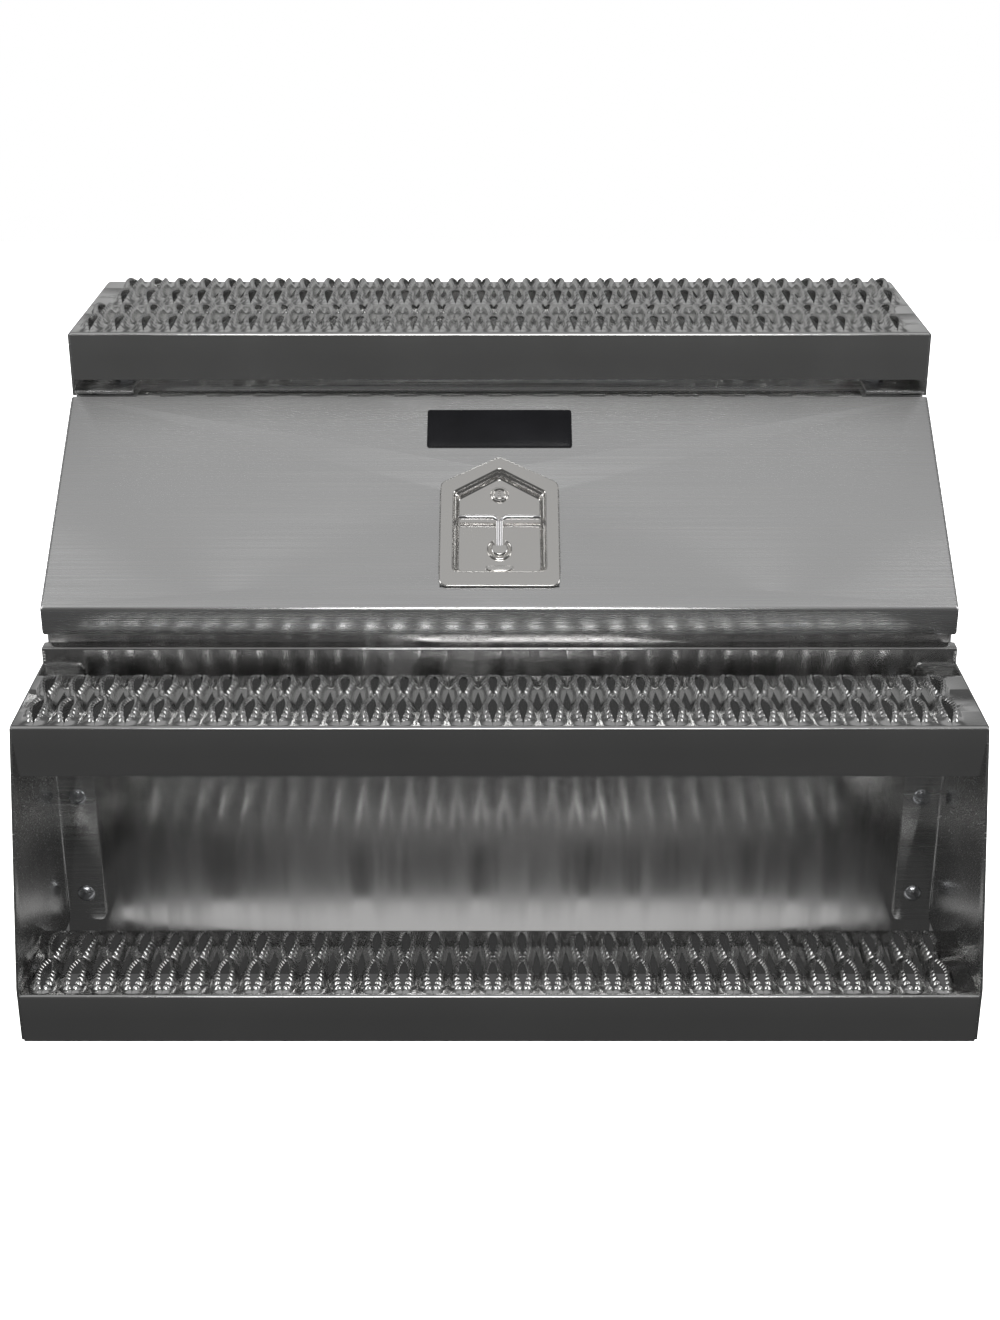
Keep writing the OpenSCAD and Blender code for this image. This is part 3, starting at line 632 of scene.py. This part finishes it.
PIVOT_N = -11 * MM           # the handle's pin, under the lid's face
REACH = 38 * MM              # from the pin to the middle of the bar
RISE = math.asin(9.5 / 38)   # how far the folded handle stands up from the lid's face
BAR_HALF = 42 * MM
WIRE_R = 1.75 * MM
BAR_R = 2.3 * MM
BAR_END = 0.72               # the bar's rounded end against its radius
WIRE_BEND = 6 * MM
EYE_RINGS = ((-3.4, 2.6), (-2.8, 3.2), (2.8, 3.2), (3.4, 2.6))   # across and radius, in mm
SLOT_HALF = 3.6 * MM         # the hub's slot for the handle
SLOT_FLARE = 0.25            # how much wider it gets for each unit upwards
SLOT_START = 2 * MM          # above the hub's middle


def handle_point(x, along, out):
    """A point on the folded handle: x across, along it from its pin, out of its face."""
    return lid_point(x, SPINDLE_S - along * math.cos(RISE) + out * math.sin(RISE),
                     PIVOT_N + along * math.sin(RISE) + out * math.cos(RISE))


def handle_piece():
    """Two wires side by side from the pin, each bent outwards into half of the bar."""
    bm = bmesh.new()
    for side in (-1, 1):
        path = [(WIRE_R, 0), (WIRE_R, REACH - WIRE_BEND)]
        path += [(WIRE_R + WIRE_BEND - px, REACH - WIRE_BEND + pz)
                 for px, pz in arc(0, 0, WIRE_BEND, 12, 90, 7)]
        path += [(0.75 * BAR_HALF, REACH), (BAR_HALF - 0.8 * MM, REACH), (BAR_HALF, REACH)]
        rings = []
        for i, (x, along) in enumerate(path):
            ax, aa = path[max(i - 1, 0)]
            bx, ba = path[min(i + 1, len(path) - 1)]
            run = Vector((bx - ax, ba - aa)).normalized()
            r = WIRE_R + (BAR_R - WIRE_R) * min(i / 8, 1)
            r *= BAR_END if i == len(path) - 1 else 1
            rings.append([handle_point(side * (x + r * math.cos(t) * run.y),
                                       along - r * math.cos(t) * run.x, r * math.sin(t))
                          for t in circle(14)])
        skin(bm, rings, cap_first=True, cap_last=True)
    skin(bm, [[handle_point(x * MM, r * MM * math.cos(t), r * MM * math.sin(t)) for t in circle(24)]
              for x, r in EYE_RINGS], cap_first=True, cap_last=True)
    bmesh.ops.recalc_face_normals(bm, faces=bm.faces)
    finished(bm, "handle_wires", "t_handle", sharp=50)


HUB_PROFILE = [(0.01, -40), (5.4, -40), (6, -39.4), (6, -18.6), (12.9, -18.6), (13, -18),
               (13, -7.2), (12.7, -6.3), (12.1, -6.0), (11.5, -6.3), (11, -7.2), (10.6, -7.9),
               (10, -7.9), (9.6, -7.2), (9, -5.6), (8.2, -4.6), (7, -4.1), (5, -3.9), (0.01, -3.8)]
LOCK_RING_PROFILE = [(5.95, -32), (8.1, -32), (8.5, -31.6), (8.5, -9), (9.5, -9), (9.6, -7.2),
                     (9.3, -6.5), (8.6, -6.1), (7.6, -6.3), (7.1, -7.0), (6.8, -6.8), (6.3, -6.5),
                     (5.95, -6.8)]
LOCK_CORE_PROFILE = [(0.01, -34), (5, -34), (5.8, -33), (5.8, -7.2), (5.4, -6.7), (4.6, -6.5),
                     (3.6, -6.7), (3.0, -6.7), (2.0, -6.7), (0.9, -6.7), (0.01, -6.7)]
HUB_SLOT_N = -12 * MM        # the floor of the slot for the handle
HUB_BASE_N = -18 * MM        # the cut stays above this
KEYHOLE_DEEP = 3 * MM
KEYHOLE_HALF = (0.75 * MM, 3.7 * MM)
LOCK_FACE_N = -8 * MM        # only the face above this is cut


def hub_cut(x, up, n):
    """Lowers the hub's dome where the handle's slot runs out at its upper side."""
    inside = up > SLOT_START and abs(x) < SLOT_HALF + SLOT_FLARE * up
    return min(n, HUB_SLOT_N) if inside and n > HUB_BASE_N else n


def keyhole_cut(x, up, n):
    """Lowers the lock's face along its upright keyhole."""
    inside = abs(x) < KEYHOLE_HALF[0] and abs(up) < KEYHOLE_HALF[1]
    return n - KEYHOLE_DEEP if inside and n > LOCK_FACE_N else n


def hub_and_lock():
    """The spindle's domed hub, the lock's ringed case, and its core with the keyhole."""
    bm = bmesh.new()
    turned(bm, HUB_PROFILE, SPINDLE_S, steps=72, cut=hub_cut)
    finished(bm, "latch_hub", "latch_spindle", sharp=40)
    bm = bmesh.new()
    turned(bm, LOCK_RING_PROFILE, LOCK_S, closed=True)
    finished(bm, "lock_ring", "lock_case", sharp=40)
    bm = bmesh.new()
    turned(bm, LOCK_CORE_PROFILE, LOCK_S, steps=96, cut=keyhole_cut)
    finished(bm, "lock_core", "lock_plug", sharp=40)


def lid_frame(half, head, foot, inset, n, radius, steps=5):
    """A rounded rectangle on the lid, moved inwards by inset, at depth n."""
    corners = [(-half + inset, foot - inset), (half - inset, foot - inset),
               (half - inset, head + inset), (-half + inset, head + inset)]
    return [lid_point(x, s, n) for x, s in rounded(corners, radius - inset, steps)]


PLATE_HEAD = 19 * MM         # from the lid's top edge to the name plate
PLATE_FOOT = 69.8 * MM
PLATE_CORNER = 3 * MM
PLATE_STEPS = ((0, 0), (0, 0.55), (0.3, 0.8), (1.9, 0.8), (2.2, 0.6))   # inset and height, in mm


def plate_piece():
    """The blank name plate: rounded corners, and a fine raised border."""
    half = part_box("name_plate")[1].x
    bm = bmesh.new()
    skin(bm, [lid_frame(half, PLATE_HEAD, PLATE_FOOT, inset * MM, n * MM, PLATE_CORNER)
              for inset, n in PLATE_STEPS], cap_first=True, cap_last=True)
    finished(bm, "blank_plate", "name_plate", sharp=40)


SEAL_HEAD = 28 * MM          # from the lid's top edge to the seal
SEAL_FOOT = LID_L - 12.7 * MM
SEAL_N = -10.8 * MM          # the seal's seat, under the lid's face
SEAL_CORNER = 14 * MM
SEAL_SECTION = ((0, 0), (0, 2.6), (0.5, 3.0), (0.3, 4.6), (1.0, 6.4), (2.4, 7.6), (4, 8),
                (5.6, 7.6), (7.0, 6.4), (7.7, 4.6), (7.5, 3.0), (8, 2.6), (8, 0), (0, 0))


def seal_piece():
    """The door seal: a bulb on a foot that runs round the opening with rounded corners."""
    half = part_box("door_seal")[1].x
    bm = bmesh.new()
    skin(bm, [lid_frame(half, SEAL_HEAD, SEAL_FOOT, inset * MM, SEAL_N + up * MM, SEAL_CORNER, 7)
              for inset, up in SEAL_SECTION])
    tidy_surface(bm)
    finished(bm, "seal_bulb", "door_seal", sharp=50)


handle_piece()
hub_and_lock()
plate_piece()
seal_piece()

# ---------------------------------------------------------------- steps and body sheets
FLANGE_W = 40.5 * MM
LOWER_FRONT_H = 57.8 * MM    # height of the end plate's front edge
MIDDLE_BACK = 75 * MM        # how far its upper front corner stands back
END_FOLD = 4 * MM            # outer radius of the end plates' folds
UPPER_CORNER = 3 * MM        # radii of the end plates' front corners
LOWER_CORNER = 4 * MM
TAB_FOOT_CORNER = 6 * MM     # radii of the bolting flanges' corners
TAB_TOP_CORNER = 8 * MM
SILL_D = 15 * MM
SILL_FOLD = 2.6 * MM
SILL_INSET = 3.6 * MM        # from the side panels to the upright behind the sill
LID_GAP = 11.5 * MM
WELD_R = 1.5 * MM
WELD_BEADS = 7
WELD_SIDES = 8
WELD_STEPS = 4               # rings along one bead
WELD_WAIST = 0.8             # a weld's least radius between its beads, as a share of WELD_R
WELD_SWELL = 0.28            # what a bead adds to that
WELD_UNEVEN = 0.12           # and the most that chance adds
WELD_TIP = 0.4               # the ends against the rest
WELD_ASIDE = 2 * MM          # the welds' middle, from the box's side
WELD_BEHIND = 0.6 * MM       # and behind the wall's front


def weld(bm, start, end, seed):
    """A weld: a lumpy row of overlapping beads from start to end."""
    rng = random.Random(seed)
    start, end = Vector(start), Vector(end)
    run = (end - start).normalized()
    side = run.orthogonal().normalized()
    other = run.cross(side)
    rings = []
    last = WELD_STEPS * WELD_BEADS
    for k in range(last + 1):
        t = k / last
        swell = WELD_R * (WELD_WAIST + WELD_SWELL * abs(math.sin(t * WELD_BEADS * math.pi))
                          + WELD_UNEVEN * rng.random())
        swell *= WELD_TIP if k in (0, last) else 1
        at = start.lerp(end, t)
        rings.append([at + swell * (side * math.cos(a) + other * math.sin(a))
                      for a in circle(WELD_SIDES)])
    skin(bm, rings, cap_first=True, cap_last=True)


def step_end_piece(side):
    """A step end: the side plate, and the bolting flange that is folded inwards behind it."""
    node = "step_end_right" if side > 0 else "step_end_left"
    low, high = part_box(node)
    front, back, foot, top = low.y, high.y, low.z, high.z
    outline = [(back, foot), (back, top)]
    outline += arc(front + MIDDLE_BACK + UPPER_CORNER, top - UPPER_CORNER, UPPER_CORNER, 90, 165, 4)
    outline += [(front, foot + LOWER_FRONT_H)]
    outline += arc(front + LOWER_CORNER, foot + LOWER_CORNER, LOWER_CORNER, 180, 270, 4)
    plate = [(side * HALF_W, y, z) for y, z in outline]
    inner = HALF_W - FLANGE_W
    tab = [(HALF_W, foot)]
    tab += arc(inner + TAB_FOOT_CORNER, foot + TAB_FOOT_CORNER, TAB_FOOT_CORNER, -90, -180, 4)
    tab += arc(inner + TAB_TOP_CORNER, top - TAB_TOP_CORNER, TAB_TOP_CORNER, 180, 90, 5)
    tab += [(HALF_W, top)]
    flange = [(side * x, back, z) for x, z in tab]
    faces = [plate, flange]
    if side < 0:
        faces = [f[::-1] for f in faces]
    folded(node + "_sheet", node, faces, radius=END_FOLD)


def front_wall_piece():
    """The front wall, folded back into the sill and up behind it."""
    low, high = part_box("front_wall")
    front, top = low.y, LID_LOW.z - LID_GAP
    inner = INNER_W - SILL_INSET
    back = front + SILL_D + SHEET
    faces = [
        [(-HALF_W, front, low.z), (HALF_W, front, low.z), (HALF_W, front, top),
         (-HALF_W, front, top)],
        [(-HALF_W, front, top), (HALF_W, front, top), (HALF_W, back - SHEET, top),
         (inner, back, top), (-inner, back, top), (-HALF_W, back - SHEET, top)],
    ]
    bm = bmesh.new()
    add_faces(bm, faces)
    folds = [e for e in bm.edges if len(e.link_faces) == 2]
    bmesh.ops.bevel(bm, geom=folds, offset=SILL_FOLD, segments=FOLD_STEPS, profile=0.5,
                    affect="EDGES")
    upright = [(-inner, back - SHEET, top - SHEET), (inner, back - SHEET, top - SHEET),
               (inner, back - SHEET, high.z), (-inner, back - SHEET, high.z)]
    bm.faces.new([bm.verts.new(p) for p in upright])
    finished(bm, "front_wall_sheet", "front_wall", sharp=30, solid=SHEET, edge=SHEET_EDGE)
    bm = bmesh.new()
    for side in (-1, 1):
        edge = side * (HALF_W - WELD_ASIDE)
        weld(bm, (edge, front + WELD_BEHIND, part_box("step_end_left")[1].z + 1 * MM),
             (edge, front + WELD_BEHIND, top - 3 * MM), seed=5 + side)
    finished(bm, "front_wall_welds", "front_wall", sharp=60)


step_end_piece(-1)
step_end_piece(1)
front_wall_piece()

# ---------------------------------------------------------------- softened CAD pieces
# width of the rounding: the CAD nodes that get it
SOFTENED = {
    0.9 * MM: ("deck_bracket_left", "deck_bracket_right", "top_panel", "back_panel",
               "side_panel_left", "side_panel_right", "floor_panel", "opening_frame"),
    0.5 * MM: ("flange_bolts", "flange_nuts", "deck_bolts", "deck_nuts", "lid_stiffener", "latch_cam",
               "latch_nut", "latch_keeper", "strut_bracket_body_left", "strut_bracket_body_right",
               "strut_bracket_lid_left", "strut_bracket_lid_right", "strut_cylinder_left",
               "strut_cylinder_right", "strut_rod_left", "strut_rod_right"),
    0.2 * MM: ("handle_pin", "latch_gasket", "hinge_leaf_body", "hinge_leaf_lid", "hinge_pin"),
}
for _width, _nodes in SOFTENED.items():
    for _node in _nodes:
        softened(_node, _width)
for _node in NODE_SLOT:
    _obj = frame["nodes"][_node]
    _obj.data.materials.clear()
    _obj.data.materials.append(looks_of(_node))


# ---------------------------------------------------------------- stage, light and camera
def soft_light(name, at, aim, size, power, shape="RECTANGLE", mirrored=True, shadow=True):
    """A soft light at a point, aimed at another. Reflections show it only if it's mirrored."""
    data = bpy.data.lights.new(name, "AREA")
    data.shape = shape
    data.size, data.size_y = size
    data.energy = power
    data.use_shadow = shadow
    lamp = bpy.data.objects.new(name, data)
    lamp.location = at
    lamp.rotation_euler = (Vector(aim) - Vector(at)).to_track_quat("-Z", "Y").to_euler()
    lamp.visible_glossy = mirrored
    lamp.visible_camera = False
    bpy.context.scene.collection.objects.link(lamp)


# (height of the direction, 0 straight down to 1 straight up; grey)
SKY_REAR = ((0.0, 0.06), (0.485, 0.08), (0.51, 0.42), (0.60, 0.42), (0.70, 0.30), (0.76, 0.10),
            (0.86, 0.16), (0.93, 0.42), (1.0, 0.42))
SKY_FRONT = ((0.0, 0.05), (0.45, 0.08), (0.60, 0.08), (0.76, 0.10), (0.86, 0.16), (0.93, 0.42),
             (1.0, 0.42))
SKY_TURN = (-0.25, 0.15)      # where along Y the front gives way to the rear


def sky():
    """The surroundings: dark below and in front, pale at the rear's horizon and overhead.

    The camera itself sees plain white.
    """
    world = bpy.data.worlds.new("studio")
    bpy.context.scene.world = world
    world.use_nodes = True
    nodes, links = world.node_tree.nodes, world.node_tree.links
    way = nodes.new("ShaderNodeTexCoord")
    parts = nodes.new("ShaderNodeSeparateXYZ")
    links.new(way.outputs["Generated"], parts.inputs[0])
    lift = shader_node(nodes, "ShaderNodeMapRange", {"From Min": -1.0})
    links.new(parts.outputs["Z"], lift.inputs["Value"])

    def ramp(stops):
        made = nodes.new("ShaderNodeValToRGB")
        elements = made.color_ramp.elements
        while len(elements) < len(stops):
            elements.new(0.5)
        for element, (place, grey) in zip(elements, stops):
            element.position = place
            element.color = (grey, grey, grey, 1)
        links.new(lift.outputs[0], made.inputs["Fac"])
        return made.outputs["Color"]

    def blend(factor, first, second=None):
        made = shader_node(nodes, "ShaderNodeMix", {7: (1, 1, 1, 1)}, data_type="RGBA")
        links.new(factor, made.inputs[0])
        links.new(first, made.inputs[6])
        if second:
            links.new(second, made.inputs[7])
        return made.outputs[2]

    facing = shader_node(nodes, "ShaderNodeMapRange",
                         {"From Min": SKY_TURN[0], "From Max": SKY_TURN[1]})
    links.new(parts.outputs["Y"], facing.inputs["Value"])
    around = blend(facing.outputs[0], ramp(SKY_FRONT), ramp(SKY_REAR))
    seen = nodes.new("ShaderNodeLightPath")
    links.new(blend(seen.outputs["Is Camera Ray"], around), nodes["Background"].inputs["Color"])


FLOOR_HALF = 3.4
# painted shade: a near-black patch of floor under the box stands in for the shadow there
SHADE_PATCH_BESIDE = 0.014            # how far the painted shade patch reaches beyond the box at each side
SHADE_PATCH_FRONT = 0.07              # how far it stays behind the lower step's front
SHADE_PATCH_BACK = 0.02               # and in front of the box's back
SHADE_PATCH_FACE = 4                  # the middle one of the floor's 3 x 3 faces, the painted shade patch


def floor_material(name, grey):
    """A matt grey with faint clouding."""
    mat, nodes, links, shader = new_material(name)
    shader.inputs["Roughness"].default_value = 0.9
    cloud = shader_node(nodes, "ShaderNodeTexNoise", {"Scale": 3.0})
    pale = shader_node(nodes, "ShaderNodeMapRange", {"To Min": grey, "To Max": grey * 0.97})
    links.new(cloud.outputs["Fac"], pale.inputs["Value"])
    links.new(pale.outputs[0], shader.inputs["Base Color"])
    return mat


def floor_piece():
    """A plain pale floor, with a dark patch of painted shade under the box that shows through the
    openings.
    """
    shade_patch_x = HALF_W + SHADE_PATCH_BESIDE
    xs = (-FLOOR_HALF, -shade_patch_x, shade_patch_x, FLOOR_HALF)
    ys = (-FLOOR_HALF, CAD_BOX[0].y + SHADE_PATCH_FRONT, CAD_BOX[1].y - SHADE_PATCH_BACK, FLOOR_HALF)
    points = [(x, y, 0) for y in ys for x in xs]
    faces = [(4 * j + i, 4 * j + i + 1, 4 * j + i + 5, 4 * j + i + 4)
             for j in range(3) for i in range(3)]
    mesh = bpy.data.meshes.new("studio_floor")
    mesh.from_pydata(points, [], faces)
    mesh.materials.append(floor_material("pale_floor", 0.93))
    # painted shade: the near-black grey of the patch under the box
    mesh.materials.append(floor_material("floor_painted_shade", 0.03))
    mesh.polygons[SHADE_PATCH_FACE].material_index = 1
    floor = bpy.data.objects.new("studio_floor", mesh)
    bpy.context.scene.collection.objects.link(floor)
    floor.visible_glossy = False


CAMERA_ASIDE = 0.0005
CAMERA_AHEAD = 1.606          # in front of the lower step
CAMERA_HEIGHT = 1.1316
CAMERA_PITCH = 23.71          # degrees below level
SENSOR = 36                   # mm
LENS = 54.545                 # mm
camera = bpy.data.objects.new("camera", bpy.data.cameras.new("camera"))
bpy.context.scene.collection.objects.link(camera)
camera.data.sensor_width = SENSOR
camera.data.lens = LENS
camera.location = (CAMERA_ASIDE, CAD_BOX[0].y - CAMERA_AHEAD, CAMERA_HEIGHT)
camera.rotation_euler = (math.radians(90 - CAMERA_PITCH), 0, 0)
bpy.context.scene.camera = camera
bpy.context.scene.view_settings.view_transform = "Standard"

sky()
floor_piece()
soft_light("floor_light", (0, 0.6, 4.0), (0, 0.6, 0), (7, 7), 900, mirrored=False, shadow=False)
soft_light("front_box", (0, -2.3, 2.6), (0, 0, 0.3), (1.5, 0.5), 18)
GAP_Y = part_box("front_wall")[0].y      # the strip of floor behind the lower step ends here
for _name, _ahead, _height, _size, _power in (("gap_near", 0.024, 0.004, (0.86, 0.044), 0.055),
                                              ("gap_far", 0.05, 0.003, (0.80, 0.09), 0.006)):
    soft_light(_name, (0, GAP_Y - _ahead, _height), (0, GAP_Y - _ahead, 1), _size, _power, "ELLIPSE")
for _name, _x in (("left_box", -2.3), ("right_box", 2.3)):
    soft_light(_name, (_x, -0.5, 1.7), (0, 0, 0.3), (1.0, 1.4), 9)
